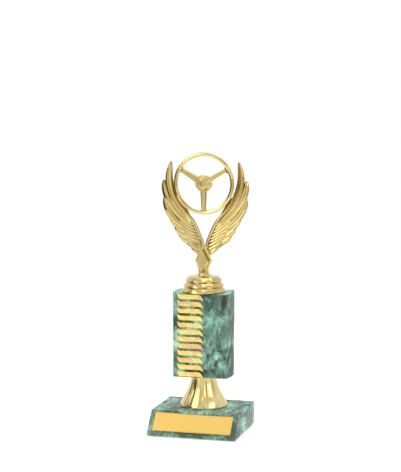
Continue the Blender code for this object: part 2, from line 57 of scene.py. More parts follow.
# %% The rod's axis
rod_low, rod_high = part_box("tie_rod")
ROD_X = (rod_low[0] + rod_high[0]) / 2
ROD_Y = (rod_low[1] + rod_high[1]) / 2
AXIS = Vector((ROD_X, ROD_Y, 0.0))
print("rod axis y", round(ROD_Y, 5))

# %% [markdown]
# ## The studio
# A short lens close by would swell the wheel and shrink the block. So a long lens stands a metre
# and a half away, a little above the trophy and to its right. It is aimed a touch to the left of
# the rod, which sets the trophy just right of the frame's middle.

# %% Camera
DISTANCE = 1.5
AROUND = math.radians(15.3)
AIM_LEFT = math.radians(0.1256)
LOOK_DOWN = math.radians(6.27)
LENS = 116.2
EYE_HEIGHT = 0.3585

camera_data = bpy.data.cameras.new("studio_camera")
camera_data.sensor_width = 36.0
camera_data.lens = LENS
camera_data.clip_end = 50.0
camera = bpy.data.objects.new("studio_camera", camera_data)
bpy.context.scene.collection.objects.link(camera)
camera.location = (
    ROD_X + DISTANCE * math.sin(AROUND),
    ROD_Y - DISTANCE * math.cos(AROUND),
    EYE_HEIGHT,
)
camera.rotation_euler = (math.pi / 2 - LOOK_DOWN, 0.0, AROUND + AIM_LEFT)
bpy.context.scene.camera = camera
bpy.context.scene.view_settings.view_transform = "Standard"  # colours stay as they are given
print("camera at", tuple(round(v, 4) for v in camera.location))


# %% [markdown]
# Polished gold shows the room more than itself. A picture of a studio wrapped round the scene
# would do, but a colour ramp read by direction needs no file and can be set one by one: each stop
# is a pale wall or a brown screen at its own angle, placed where a flat gold face mirrors it.
# The camera's own rays see plain white instead.

# %% Node helpers
def link(tree, source, target):
    """Leads one node's output into another's input."""
    tree.links.new(source, target)


def add(tree, kind, **values):
    """One node, with its settings, and with its sockets set by name."""
    node = tree.nodes.new(kind)
    for name, value in values.items():
        if hasattr(node, name):
            setattr(node, name, value)
        else:
            node.inputs[name.replace("_", " ")].default_value = value
    return node


def screen(red, green, blue):
    """A colour given as it looks on a screen, 0 to 255, turned into linear light."""
    made = []
    for value in (red, green, blue):
        share = value / 255
        made.append(share / 12.92 if share <= 0.04045 else ((share + 0.055) / 1.055) ** 2.4)
    return (*made, 1.0)


def ramp(tree, source, stops):
    """A colour ramp fed by a value, from (place, colour) stops."""
    node = tree.nodes.new("ShaderNodeValToRGB")
    elements = node.color_ramp.elements
    while len(elements) < len(stops):
        elements.new(0.5)
    for element, (place, colour) in zip(elements, stops):
        element.position = place
        element.color = colour
    link(tree, source, node.inputs["Fac"])
    return node.outputs["Color"]


# %% Direction round the room
world = bpy.data.worlds.new("studio_room")
bpy.context.scene.world = world
world.use_nodes = True
room = world.node_tree
room.nodes.clear()
looking = add(room, "ShaderNodeTexCoord")
axes = add(room, "ShaderNodeSeparateXYZ")
link(room, looking.outputs["Generated"], axes.inputs[0])
turn = add(room, "ShaderNodeMath", operation="ARCTAN2")
toward_viewer = add(room, "ShaderNodeMath", operation="MULTIPLY")
toward_viewer.inputs[1].default_value = -1.0
link(room, axes.outputs["Y"], toward_viewer.inputs[0])
link(room, axes.outputs["X"], turn.inputs[0])
link(room, toward_viewer.outputs[0], turn.inputs[1])
way_round = add(room, "ShaderNodeMapRange", From_Min=-math.pi, From_Max=math.pi)
link(room, turn.outputs[0], way_round.inputs["Value"])
print("direction nodes", len(room.nodes))

# %% Walls and screens
ROOM_WALLS = [
    # degrees round the room from the viewer's side, positive to the right, and brightness
    (-180, 1.0), (-112, 1.0), (-102, 1.0), (-96, 0.90), (-90, 0.50), (-84, 0.12), (-50, 0.08),
    (-44, 0.40), (-37, 1.20), (-29, 1.35), (-25, 0.36), (-22, 0.36), (-17, 0.90), (-4, 0.96),
    (10, 0.96), (17, 0.30), (22, 0.30), (28, 0.95), (40, 1.15), (56, 1.2), (68, 0.95), (74, 0.22),
    (82, 0.60), (100, 1.0), (180, 1.0),
]
PALE_WALL = (1.0, 0.985, 0.95)
BROWN_SCREEN = (1.1, 0.84, 0.55)
BRIGHTEST_SCREEN = 0.4
wall_stops = []
for degrees, bright in ROOM_WALLS:
    tint = PALE_WALL if bright > BRIGHTEST_SCREEN else BROWN_SCREEN
    wall_stops.append(((degrees + 180) / 360, (*(bright * part for part in tint), 1)))
walls = ramp(room, way_round.outputs["Result"], wall_stops)
print("wall stops", len(wall_stops))

# %% Ceiling and background
CEILING = (0.85, 0.84, 0.81, 1)
CEILING_STARTS, CEILING_WHOLE = 0.45, 0.85  # upward part of a direction of length 1
above = add(room, "ShaderNodeMapRange", From_Min=CEILING_STARTS, From_Max=CEILING_WHOLE)
link(room, axes.outputs["Z"], above.inputs["Value"])
closed_room = add(room, "ShaderNodeMix", data_type="RGBA")
link(room, above.outputs["Result"], closed_room.inputs["Factor"])
link(room, walls, closed_room.inputs["A"])
closed_room.inputs["B"].default_value = CEILING
ray = add(room, "ShaderNodeLightPath")
to_camera = add(room, "ShaderNodeMix", data_type="RGBA")
link(room, ray.outputs["Is Camera Ray"], to_camera.inputs["Factor"])
link(room, closed_room.outputs["Result"], to_camera.inputs["A"])
to_camera.inputs["B"].default_value = (1, 1, 1, 1)
background = add(room, "ShaderNodeBackground", Strength=1.0)
link(room, to_camera.outputs["Result"], background.inputs["Color"])
link(room, background.outputs[0], add(room, "ShaderNodeOutputWorld").inputs["Surface"])
print("room nodes", len(room.nodes))


# %% [markdown]
# Small lamps would leave hard white dots on the gold, so there are three large soft ones: the
# main light high on the left, a weaker one on the right that opens the shadows, and one overhead
# for the tops of the block and the column.

# %% Lamps
def lamp(name, place, aim, size, power):
    """A square soft lamp that faces a point."""
    data = bpy.data.lights.new(name, "AREA")
    data.size = size
    data.energy = power
    made = bpy.data.objects.new(name, data)
    made.location = place
    made.rotation_euler = (Vector(aim) - Vector(place)).to_track_quat("-Z", "Y").to_euler()
    bpy.context.scene.collection.objects.link(made)
    return made


MIDDLE = (0.0, 0.0, 0.14)
lamp("left_softbox", (-0.9, -1.0, 1.1), MIDDLE, 1.1, 6.5)
lamp("right_softbox", (1.2, -0.8, 0.8), MIDDLE, 0.9, 4.0)
lamp("top_softbox", (0.1, 0.1, 1.4), MIDDLE, 1.2, 5.5)
print("three lamps")


# %% [markdown]
# Selecting in code replaces the mouse. Everything is deselected before a piece is started, and
# a test on a face's or a vertex's place or normal picks what the next operator acts on.

# %% Modelling helpers
def clear_selection():
    """Leaves edit mode and deselects everything."""
    if bpy.context.mode != "OBJECT":
        bpy.ops.object.mode_set(mode="OBJECT")
    bpy.ops.object.select_all(action="DESELECT")


def pick(kind, test):
    """In edit mode, selects the faces, edges or vertices that pass a test, and no others."""
    bpy.ops.mesh.select_mode(type=kind)
    bpy.ops.mesh.select_all(action="DESELECT")
    mesh = bpy.context.object.data
    shape = bmesh.from_edit_mesh(mesh)
    chosen = {"FACE": shape.faces, "EDGE": shape.edges, "VERT": shape.verts}[kind]
    for item in chosen:
        if test(item):
            item.select_set(True)
    shape.select_flush_mode()
    bmesh.update_edit_mesh(mesh)


def work_on(target):
    """Leaves this object alone selected, and active."""
    clear_selection()
    target.select_set(True)
    bpy.context.view_layer.objects.active = target


def use_modifier(target, kind, **settings):
    """Adds one modifier and applies it at once."""
    work_on(target)
    made = target.modifiers.new(kind.lower(), kind)
    for name, value in settings.items():
        setattr(made, name, value)
    bpy.ops.object.modifier_apply(modifier=made.name)


def apply_place(target):
    """Puts the object's place, turn and size into its mesh."""
    work_on(target)
    bpy.ops.object.transform_apply(location=True, rotation=True, scale=True)


DOUBLES = 1e-6  # vertices nearer than a thousandth of a millimetre are one


def tidy_mesh(target, sharp_degrees=32.0):
    """Merges doubles, turns all faces outwards and shades smooth up to an angle."""
    work_on(target)
    bpy.ops.object.mode_set(mode="EDIT")
    bpy.ops.mesh.select_all(action="SELECT")
    bpy.ops.mesh.remove_doubles(threshold=DOUBLES)
    bpy.ops.mesh.normals_make_consistent(inside=False)
    bpy.ops.object.mode_set(mode="OBJECT")
    bpy.ops.object.shade_smooth_by_angle(angle=math.radians(sharp_degrees))


def joined(pieces, name):
    """Joins the pieces into the first one and gives it a name."""
    clear_selection()
    for piece in pieces:
        piece.select_set(True)
    bpy.context.view_layer.objects.active = pieces[0]
    bpy.ops.object.join()
    pieces[0].name = name
    pieces[0].data.name = name
    return pieces[0]


# %% [markdown]
# A turned piece is drawn on a lathe as a list of radii and heights. A Screw modifier on an
# outline would turn it too. Here a ring of vertices is extruded from level to level and resized
# about the axis each time, so every ring can still be picked and pressed afterwards. A closed
# list of levels gives a hollow piece, whose last ring is merged with its first.

# %% The lathe
def lathe(name, levels, sides, centre, axis="Z", hollow=False):
    """A turned piece from (radius, height along the axis). Y heights run towards the front."""
    upright = axis == "Z"
    along = Vector((0, 0, 1)) if upright else Vector((0, -1, 0))
    clear_selection()
    radius, height = levels[0]
    bpy.ops.mesh.primitive_circle_add(
        vertices=sides,
        radius=radius,
        fill_type="NOTHING" if hollow else "NGON",
        location=centre + along * height,
        rotation=(0, 0, 0) if upright else (math.pi / 2, 0, 0),
    )
    made = bpy.context.object
    made.name = name
    made.data.name = name
    apply_place(made)
    bpy.ops.object.mode_set(mode="EDIT")
    bpy.ops.mesh.select_all(action="SELECT")
    for new_radius, new_height in levels[1:]:
        step = along * (new_height - height)
        bpy.ops.mesh.extrude_region_move(TRANSFORM_OT_translate={"value": step})
        share = new_radius / radius
        scale = (share, share, 1) if upright else (share, 1, share)
        bpy.ops.transform.resize(value=scale, center_override=centre + along * new_height)
        radius, height = new_radius, new_height
    bpy.ops.object.mode_set(mode="OBJECT")
    tidy_mesh(made)
    print(name, len(made.data.polygons), "faces")
    return made


# %% Soft corners on a lathe drawing
SHARES = 2.2  # an arc takes at most one share in this many of each line at its corner
ALMOST_STRAIGHT = math.radians(176)
ARC_STEPS = 3


def softened(levels, width):
    """Rounds the corners of a lathe drawing: each corner becomes a short arc."""
    made = []
    for i, point in enumerate(levels):
        before = Vector(levels[i - 1]) if i else None
        after = Vector(levels[i + 1]) if i + 1 < len(levels) else None
        here = Vector(point)
        if before is None or after is None:
            made.append(tuple(here))
            continue
        back, on = before - here, after - here
        reach = min(width, back.length / SHARES, on.length / SHARES)
        if reach < DOUBLES or back.angle(on) > ALMOST_STRAIGHT:
            made.append(tuple(here))
            continue
        start, end = here + back.normalized() * reach, here + on.normalized() * reach
        for k in range(ARC_STEPS + 1):
            t = k / ARC_STEPS
            spot = start * (1 - t) ** 2 + here * 2 * t * (1 - t) + end * t * t
            made.append(tuple(spot))
    return made


# %% [markdown]
# ## Finishes
# A finish could be painted on an unwrapped piece. Here noise nodes read Object coordinates in
# metres instead, so a grain has its real size, needs no unwrapping, and stays on the piece when
# a joint turns it.

# %% Material helpers
def finish(name, colour, roughness, metallic=0.0):
    """A material with a Principled shader, its tree, and its Object coordinates."""
    made = bpy.data.materials.new(name)
    made.use_nodes = True
    tree = made.node_tree
    shader = tree.nodes["Principled BSDF"]
    shader.inputs["Base Color"].default_value = colour
    shader.inputs["Roughness"].default_value = roughness
    shader.inputs["Metallic"].default_value = metallic
    place = add(tree, "ShaderNodeTexCoord").outputs["Object"]
    return made, tree, shader, place


def noise(tree, place, scale, detail=3.0, rough=0.5, distortion=0.0, stretch=(1, 1, 1), turn=(0, 0, 0)):
    """Noise on a stretched and turned copy of the coordinates."""
    mapping = add(tree, "ShaderNodeMapping")
    mapping.inputs["Scale"].default_value = stretch
    mapping.inputs["Rotation"].default_value = turn
    link(tree, place, mapping.inputs["Vector"])
    node = add(tree, "ShaderNodeTexNoise", Scale=scale, Detail=detail, Roughness=rough)
    node.inputs["Distortion"].default_value = distortion
    link(tree, mapping.outputs["Vector"], node.inputs["Vector"])
    return node.outputs["Fac"]


def spread(tree, value, low, high, start=0.3, end=0.7):
    """Maps a noise's usual range onto another one."""
    node = add(tree, "ShaderNodeMapRange", From_Min=start, From_Max=end, To_Min=low, To_Max=high)
    link(tree, value, node.inputs["Value"])
    return node.outputs["Result"]


def blend(tree, share, first, second):
    """Mixes two colours. Each is a colour, or the output of another node."""
    node = add(tree, "ShaderNodeMix", data_type="RGBA")
    if isinstance(share, float):
        node.inputs["Factor"].default_value = share
    else:
        link(tree, share, node.inputs["Factor"])
    for socket, colour in (("A", first), ("B", second)):
        if isinstance(colour, tuple):
            node.inputs[socket].default_value = colour
        else:
            link(tree, colour, node.inputs[socket])
    return node.outputs["Result"]


def bump(tree, shader, value, depth, strength=1.0):
    """Relief of a real depth in metres."""
    node = add(tree, "ShaderNodeBump", Strength=strength, Distance=depth)
    link(tree, value, node.inputs["Height"])
    link(tree, node.outputs["Normal"], shader.inputs["Normal"])


# %% [markdown]
# The gold parts are moulded plastic with a vacuum-metallised skin. It is a mirror, slightly
# pulled by the moulding, warmer in some places, with a few dull rubbed spots. Tinted lacquer
# lies over it. The brown in the grooves and along the edges of the feathers is painted shade,
# mixed into the colour. The Geometry node's pointiness would find some of the grooves, but it
# changes with the mesh. So the feathers of the wings carry a point attribute that marks the
# painted shade, and the brown is mixed in by it.

# %% Metallised gold
# painted shade: the brown that is mixed into the edges, grooves and tips of the feathers
PAINTED_SHADE_BROWN = screen(112, 78, 26)
MOST_PAINTED_SHADE = 0.85  # the brown's share where the attribute is 1


def metallised_gold(name, deep, pale, ripple_scale, gloss=(0.05, 0.17)):
    """Mirror gold over moulded plastic: warm and pale areas, painted shade where the mesh marks it, a slow
    ripple, fine rubbing.
    """
    made, tree, shader, place = finish(name, deep, 0.1, metallic=1.0)
    drift = noise(tree, place, 38.0, detail=4.0, rough=0.55)
    skin = ramp(tree, drift, [(0.34, deep), (0.64, pale)])
    # painted shade: the mesh's point attribute mixes the brown in
    shade_marks = add(tree, "ShaderNodeAttribute", attribute_name="painted_shade").outputs["Fac"]
    brown = spread(tree, shade_marks, 0.0, MOST_PAINTED_SHADE, start=0.0, end=1.0)
    link(tree, blend(tree, brown, skin, PAINTED_SHADE_BROWN), shader.inputs["Base Color"])
    rubbed = noise(tree, place, 420.0, detail=5.0, rough=0.65, stretch=(1, 1, 0.35))
    link(tree, spread(tree, rubbed, *gloss, start=0.35, end=0.75), shader.inputs["Roughness"])
    bump(tree, shader, noise(tree, place, ripple_scale, detail=2.0), depth=0.00005)
    return made


# %% The figure's gold and the bell's
GOLD_DEEP = screen(199, 178, 113)
GOLD_PALE = screen(214, 196, 138)
figure_gold = metallised_gold("figure_gold", GOLD_DEEP, GOLD_PALE, 150.0)
riser_gold = metallised_gold(
    "riser_gold", screen(210, 190, 128), screen(230, 216, 160), 90.0, gloss=(0.13, 0.26)
)
print("golds", figure_gold.name, riser_gold.name)

# %% [markdown]
# The green marble of the block is real stone: clouds of pale mint and grey-green, broken by
# fine crystals and dark patches, rubbed to a satin. The column wears the same look as a printed
# film, and there the clouds are drawn out along its height. Three noises are laid over each
# other: one for the clouds, a fine one for the crystals, and one that cuts the dark patches. The
# index of refraction is low, which keeps the room's reflection from washing the green out.


# %% Green marble
def green_marble(name, size, stretch, turn, polish, pale=0.0):
    """Clouds of grey-green and mint, fine crystals, and dark patches with sharp borders."""
    made, tree, shader, place = finish(name, screen(110, 150, 132), 0.3)
    veins = {"detail": 9.0, "rough": 0.70, "stretch": stretch, "turn": turn}
    clouds = noise(tree, place, 48.0 * size, distortion=0.35, **veins)
    stone = ramp(
        tree,
        clouds,
        [
            (0.40, screen(56, 66, 60)),
            (0.46, screen(76, 98, 88)),
            (0.51, screen(98, 136, 120)),
            (0.56, screen(130, 178, 160)),
            (0.64, screen(180, 226, 210)),
        ],
    )
    drawn_out = (stretch[0], stretch[1], stretch[2] * 0.5)
    streaks = noise(tree, place, 420.0, 5.0, 0.7, 0.2, stretch=drawn_out, turn=turn)
    grain = ramp(
        tree,
        streaks,
        [(0.36, screen(72, 92, 84)), (0.52, screen(112, 148, 135)), (0.64, screen(182, 220, 207))],
    )
    colour = blend(tree, 0.22, stone, grain)
    spots = noise(tree, place, 36.0 * size, distortion=0.5, **veins)
    patches = spread(tree, spots, 0.90, 0.0, start=0.45, end=0.50)
    colour = blend(tree, patches, colour, screen(50, 58, 52))
    # pale blends towards mint: on the block a slightly paler tone, on the top cap a painted highlight
    colour = blend(tree, pale, colour, screen(176, 228, 204))
    link(tree, colour, shader.inputs["Base Color"])
    link(tree, spread(tree, streaks, *polish), shader.inputs["Roughness"])
    shader.inputs["IOR"].default_value = 1.2
    bump(tree, shader, streaks, depth=0.00003, strength=0.6)
    return made


# %% Marble of the block, the column and its caps
block_marble = green_marble(
    "block_marble", 1.45, stretch=(1.0, 0.6, 1.0), turn=(0.6, 0.5, 0.3), polish=(0.24, 0.42), pale=0.06
)
column_marble = green_marble(
    "column_marble", 1.0, stretch=(0.95, 0.95, 0.66), turn=(0.0, 0.05, 0.0), polish=(0.28, 0.46)
)
# the top cap's strong mint is a painted highlight of the light on its polished top
cap_marble = green_marble(
    "cap_marble", 1.0, stretch=(1.0, 1.0, 1.0), turn=(0.2, 0.0, 0.4), polish=(0.28, 0.46), pale=0.6
)
print("marbles", block_marble.name, column_marble.name, cap_marble.name)

# %% [markdown]
# The bars are cut from holographic foil. It has no lasting colour: neighbouring patches throw
# back yellow, orange and a little green, and change as the eye moves. A colour that followed the
# eye would slide over the bars, so here the patches are fixed on the foil: a slow noise with a
# little fine noise added, which makes their borders ragged, picks from a ramp of six colours.


# %% Holographic foil
def holographic_foil():
    """Half metal, half clear coat, in soft patches of yellow and orange."""
    made, tree, shader, place = finish("foil_gold", screen(250, 222, 130), 0.3, metallic=0.45)
    patches = noise(tree, place, 95.0, detail=2.0, distortion=1.4, stretch=(0.8, 1.0, 1.5))
    glints = noise(tree, place, 420.0, rough=0.6)
    both = add(tree, "ShaderNodeMath", operation="MULTIPLY_ADD")
    both.inputs[1].default_value = 0.22
    link(tree, glints, both.inputs[0])
    link(tree, patches, both.inputs[2])
    colour = ramp(
        tree,
        both.outputs[0],
        [
            (0.50, screen(234, 178, 118)),
            (0.56, screen(240, 196, 110)),
            (0.61, screen(244, 214, 116)),
            (0.66, screen(244, 222, 130)),
            (0.72, screen(220, 214, 100)),
            (0.80, screen(238, 194, 112)),
        ],
    )
    link(tree, colour, shader.inputs["Base Color"])
    wear = noise(tree, place, 900.0)
    link(tree, spread(tree, wear, 0.26, 0.46), shader.inputs["Roughness"])
    bump(tree, shader, glints, depth=0.00002, strength=0.4)
    return made


foil = holographic_foil()
print("foil", foil.name)


# %% [markdown]
# The engraving plate is anodised aluminium: a satin yellow gold, brushed along its length. Noise
# that is stretched along one axis reads as brushing, so one function also makes the steel and
# the brass. Tape and felt are the soft hidden fittings, seen only from underneath, and another
# function makes both from a very fine noise with a deeper relief.


# %% Plate and fittings
def brushed_metal(name, dark, light, stretch, gloss, scale=260.0):
    """Metal with fine lines along the axis that the noise is stretched on."""
    made, tree, shader, place = finish(name, dark, 0.3, metallic=1.0)
    lines = noise(tree, place, scale, detail=5.0, rough=0.7, stretch=stretch)
    link(tree, ramp(tree, lines, [(0.30, dark), (0.70, light)]), shader.inputs["Base Color"])
    link(tree, spread(tree, lines, *gloss), shader.inputs["Roughness"])
    bump(tree, shader, lines, depth=0.00002, strength=0.5)
    return made


def soft_stuff(name, dark, light, scale, depth, roughness):
    """Foam or felt: a fibrous noise for the colour, the gloss and the relief."""
    made, tree, shader, place = finish(name, dark, roughness)
    fibres = noise(tree, place, scale, detail=6.0, rough=0.75, distortion=0.6)
    link(tree, ramp(tree, fibres, [(0.35, dark), (0.68, light)]), shader.inputs["Base Color"])
    link(tree, spread(tree, fibres, roughness - 0.1, roughness + 0.05), shader.inputs["Roughness"])
    bump(tree, shader, fibres, depth)
    return made


# %% Plate, steel, brass, tape and felt
plate_gold = brushed_metal(
    "plate_gold", screen(217, 180, 94), screen(224, 190, 110), (0.12, 1, 1), (0.30, 0.42), 1500.0
)
zinc_steel = brushed_metal(
    "zinc_steel", screen(150, 152, 156), screen(196, 198, 202), (1, 1, 0.3), (0.25, 0.48)
)
insert_brass = brushed_metal(
    "insert_brass", screen(186, 148, 78), screen(222, 190, 116), (1, 1, 0.3), (0.22, 0.42)
)
tape = soft_stuff("tape_foam", screen(206, 206, 196), screen(228, 228, 220), 900.0, 0.00006, 0.75)
felt = soft_stuff("pad_felt", screen(24, 44, 34), screen(54, 84, 66), 1600.0, 0.00025, 0.95)
print("finishes", len(bpy.data.materials))

# %% [markdown]
# The block, the column with its caps, the foil bars, the plate and the hidden fittings have
# plain sawn, cut or drawn shapes, and the imported nodes already hold them. They could be modelled
# again, but that would add nothing, so they stay and only get a finish. The top cap gets a paler
# mint than the column's film: a painted highlight for the light on its polished top.

# %% Finishes on the imported nodes
NODE_FINISHES = {
    "base_block": block_marble,
    "engraving_plate": plate_gold,
    "plate_adhesive": tape,
    "clamp_nut": zinc_steel,
    "clamp_washer": zinc_steel,
    "rod_insert": insert_brass,
    "column_tube": column_marble,
    "column_bottom_cap": column_marble,
    "column_top_cap": cap_marble,
}
for number in range(1, 5):
    NODE_FINISHES[f"foot_pad_{number}"] = felt
for number in range(1, 13):
    NODE_FINISHES[f"foil_bar_{number:02d}"] = foil
for node_name, material in NODE_FINISHES.items():
    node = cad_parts[node_name]
    for slot in node.material_slots:
        slot.material = material
print("packed nodes with a finish", len(NODE_FINISHES))

# %% [markdown]
# ## The bell under the column
# A hollow plastic bell with 24 shallow flutes that fade out under the column and above the plain
# rim. It could be turned with a Screw modifier and grooved with Booleans, but thin grooves that
# fade out make poor cutters. So the lathe turns it smooth first. Then, on each ring of the
# outside, the vertices between two ridges are picked and resized a little towards the axis.

# %% Bell sizes
riser_low, riser_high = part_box("riser")
bell_top, bell_foot = riser_high[2], riser_low[2]
BELL_TOP_RADIUS = 0.0127
BELL_FOOT_RADIUS = (riser_high[0] - riser_low[0]) / 2
SHOULDER_RADIUS = 0.0193
SHOULDER_DROP = 0.0208  # below the bell's top
BELL_WALL = 0.0012
BELL_RIM = 0.0013
ROD_HOLE = 0.0035
FLUTES = 24
FLUTE_SIDES = 8
FLUTE_SHARE = 0.020  # how much of the radius the deepest valley is pressed in
print("bell height in mm", round((bell_top - bell_foot) * 1000, 2))


# %% A Bezier stretch of a drawing
def curve(start, first, second, end, count):
    """Points of one Bezier stretch of a drawing."""
    made = []
    for k in range(count + 1):
        t = k / count
        spot = [0.0, 0.0]
        for share, point in zip(
            ((1 - t) ** 3, 3 * t * (1 - t) ** 2, 3 * t * t * (1 - t), t**3),
            (start, first, second, end),
        ):
            spot[0] += share * point[0]
            spot[1] += share * point[1]
        made.append(tuple(spot))
    return made


# %% The bell
# Two stretches that meet in the shoulder, each with the two handles that pull it into shape.
shoulder = (SHOULDER_RADIUS, bell_top - SHOULDER_DROP)
flare = SHOULDER_RADIUS - BELL_TOP_RADIUS
bell_side = curve(
    (BELL_TOP_RADIUS, bell_top),
    (BELL_TOP_RADIUS + 0.09 * flare, bell_top - 0.0079),
    (BELL_TOP_RADIUS + 0.50 * flare, bell_top - 0.0159),
    shoulder,
    14,
)
fall = shoulder[1] - (bell_foot + BELL_RIM)
spread_out = BELL_FOOT_RADIUS - SHOULDER_RADIUS
bell_side += curve(
    shoulder,
    (SHOULDER_RADIUS + 0.36 * spread_out, shoulder[1] - 0.28 * fall),
    (SHOULDER_RADIUS + 0.95 * spread_out, shoulder[1] - 0.74 * fall),
    (BELL_FOOT_RADIUS, bell_foot + BELL_RIM),
    9,
)[1:]
bell_side += [(BELL_FOOT_RADIUS, bell_foot + 0.0006), (BELL_FOOT_RADIUS - 0.0003, bell_foot)]
bell_inside = [(radius - BELL_WALL, z) for radius, z in reversed(bell_side[1:-2:3])]
bell_levels = [(ROD_HOLE, bell_top), *bell_side, *bell_inside]
bell_levels += [(BELL_TOP_RADIUS - BELL_WALL, bell_top - BELL_WALL)]
bell_levels += [(ROD_HOLE, bell_top - BELL_WALL), (ROD_HOLE, bell_top)]
bell = lathe("fluted_bell", bell_levels, FLUTES * FLUTE_SIDES, AXIS, hollow=True)


# %% Pressing the flutes
def press_flutes(target):
    """Presses the valley between each two ridges in, most in the middle of the bell's height."""
    work_on(target)
    bpy.ops.object.mode_set(mode="EDIT")
    side_radius = {round(z, 6): radius for radius, z in bell_side}
    span = bell_top - (bell_foot + BELL_RIM)
    for ring in sorted({round(z, 6) for _, z in bell_side[1:-3]}):
        share = (bell_top - ring) / span
        deep = FLUTE_SHARE * max(math.sin(math.pi * share), 0.0) ** 0.5
        for step in range(1, FLUTE_SIDES // 2 + 1):
            press = deep * math.sin(math.pi * step / FLUTE_SIDES)
            if press < 1e-4:  # too little to see
                continue

            def in_valley(vertex, ring=ring, step=step):
                if abs(vertex.co.z - ring) > 2e-6:
                    return False
                flat = Vector((vertex.co.x - ROD_X, vertex.co.y - ROD_Y))
                if flat.length < side_radius[ring] - 1e-4:  # the inner wall
                    return False
                side = math.atan2(flat.y, flat.x) / (2 * math.pi) * FLUTES * FLUTE_SIDES
                return round(side) % FLUTE_SIDES in (step, FLUTE_SIDES - step)

            pick("VERT", in_valley)
            bpy.ops.transform.resize(
                value=(1 - press, 1 - press, 1), center_override=(ROD_X, ROD_Y, ring)
            )
    bpy.ops.object.mode_set(mode="OBJECT")


press_flutes(bell)
tidy_mesh(bell, 40.0)
bell.data.materials.append(riser_gold)
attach(bell, "riser_body")
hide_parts("riser")
print("flutes", FLUTES, "vertices", len(bell.data.vertices))

# %% [markdown]
# ## The stepped base of the figure
# Three sloping steps, each with a small rolled lip at its foot, and a flat disc with a small
# flared foot in its middle from which the neck grows. It is hollow underneath, with a boss for
# the brass insert. The lathe suits it, and each corner of its drawing is softened to a short
# arc, because moulded plastic has no sharp edges and a thin highlight runs along every one.

# %% Stepped base
base_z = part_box("figure_base")[0][2]
STEP_DRAWING = [
    (0.0210, 0.0),
    (0.0218, 0.0008),
    (0.0218, 0.0012),
    (0.0193, 0.0046),
    (0.0186, 0.0050),
    (0.0191, 0.0056),
    (0.0200, 0.0061),
    (0.0200, 0.0065),
    (0.0175, 0.0098),
    (0.0168, 0.0101),
    (0.0173, 0.0107),
    (0.0182, 0.0112),
    (0.0182, 0.0116),
    (0.0155, 0.0150),
]
DISC_DRAWING = [(0.0150, 0.0154), (0.0074, 0.0160)]
DISC_DRAWING += [(0.0065, 0.0168), (0.0058, 0.0178), (0.0052, 0.0188)]
UNDERSIDE = [(0.0053, 0.0), (0.0078, 0.0), (0.0078, 0.0132), (0.0137, 0.0132)]
UNDERSIDE += [(0.0174, 0.0027), (0.0174, 0.0)]
INSERT_SEAT = (0.0053, 0.0117)
outer = softened([UNDERSIDE[-1], *STEP_DRAWING, *DISC_DRAWING], 0.00020)
levels = [INSERT_SEAT, *UNDERSIDE[:-1], *outer]
raised_levels = [(radius, base_z + z) for radius, z in levels]
stepped_base = lathe("stepped_base", raised_levels, 128, AXIS)
stepped_base.data.materials.append(figure_gold)
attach(stepped_base, "figure")
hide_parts("figure_base")

# %% [markdown]
# ## The steering wheel
# A ridged rim, three tapered spokes with a small flare where they meet it, a dished hub and a
# raised round cap. A torus would give the rim a plain round section. So the section is drawn as
# one small ring of vertices, pressed flatter on both sides of its front and back ridge, and spun
# once round the wheel's axle.

# %% Rim
rim_low, rim_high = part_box("wheel_rim")
WHEEL = Vector((ROD_X, ROD_Y, (rim_low[2] + rim_high[2]) / 2))
RIM_TUBE = (rim_high[1] - rim_low[1]) / 2
RIM_RADIUS = (rim_high[0] - rim_low[0]) / 2 - RIM_TUBE
RIDGE_SIDES = (0.0005, 0.0010)  # how far off the section's middle the pressed vertices lie
RIDGE_PRESS = 0.86  # the share of their depth that is left
clear_selection()
bpy.ops.mesh.primitive_circle_add(
    vertices=24, radius=RIM_TUBE, location=WHEEL + Vector((RIM_RADIUS, 0, 0))
)
rim = bpy.context.object
rim.name = rim.data.name = "grip_rim"
apply_place(rim)
bpy.ops.object.mode_set(mode="EDIT")
rim_middle = WHEEL + Vector((RIM_RADIUS, 0, 0))
pick("VERT", lambda v: RIDGE_SIDES[0] < abs(v.co.x - rim_middle.x) < RIDGE_SIDES[1])
bpy.ops.transform.resize(value=(1, RIDGE_PRESS, 1), center_override=rim_middle)
bpy.ops.mesh.select_all(action="SELECT")
bpy.ops.mesh.spin(steps=128, angle=2 * math.pi, center=WHEEL, axis=(0, 1, 0))
bpy.ops.object.mode_set(mode="OBJECT")
tidy_mesh(rim, 60.0)
print("rim", len(rim.data.polygons), "faces")

# %% Hub
HUB_FRONT = 0.0019
HUB_DISH = 0.00033
hub_drawing = [
    (0.0060, -HUB_FRONT),
    (0.0078, -HUB_FRONT),
    (0.0085, -HUB_FRONT + 0.0007),
    (0.0085, HUB_FRONT - 0.0006),
    (0.0080, HUB_FRONT),
    (0.0074, HUB_FRONT),
    (0.0057, HUB_FRONT - HUB_DISH),
    (0.0030, HUB_FRONT - HUB_DISH),
]
hub = lathe("wheel_hub", softened(hub_drawing, 0.0003), 72, WHEEL, axis="Y")
cap_drawing = [
    (0.0053, HUB_FRONT - 0.0003),
    (0.0051, HUB_FRONT + 0.0005),
    (0.0046, HUB_FRONT + 0.0010),
    (0.0038, HUB_FRONT + 0.0012),
    (0.0028, HUB_FRONT + 0.0013),
    (0.0015, HUB_FRONT + 0.00135),
]
cap = lathe("hub_cap_disc", softened(cap_drawing, 0.0005), 72, WHEEL, axis="Y")

# %% [markdown]
# The spokes are cast in one with the hub. One is drawn out of a flat box that points to the
# right: its outer end is pulled out and narrowed, then flared against the rim, and its face is
# sunk a little inside a raised edge. Copies are turned to the three directions and joined to the
# hub, which keeps all three alike.

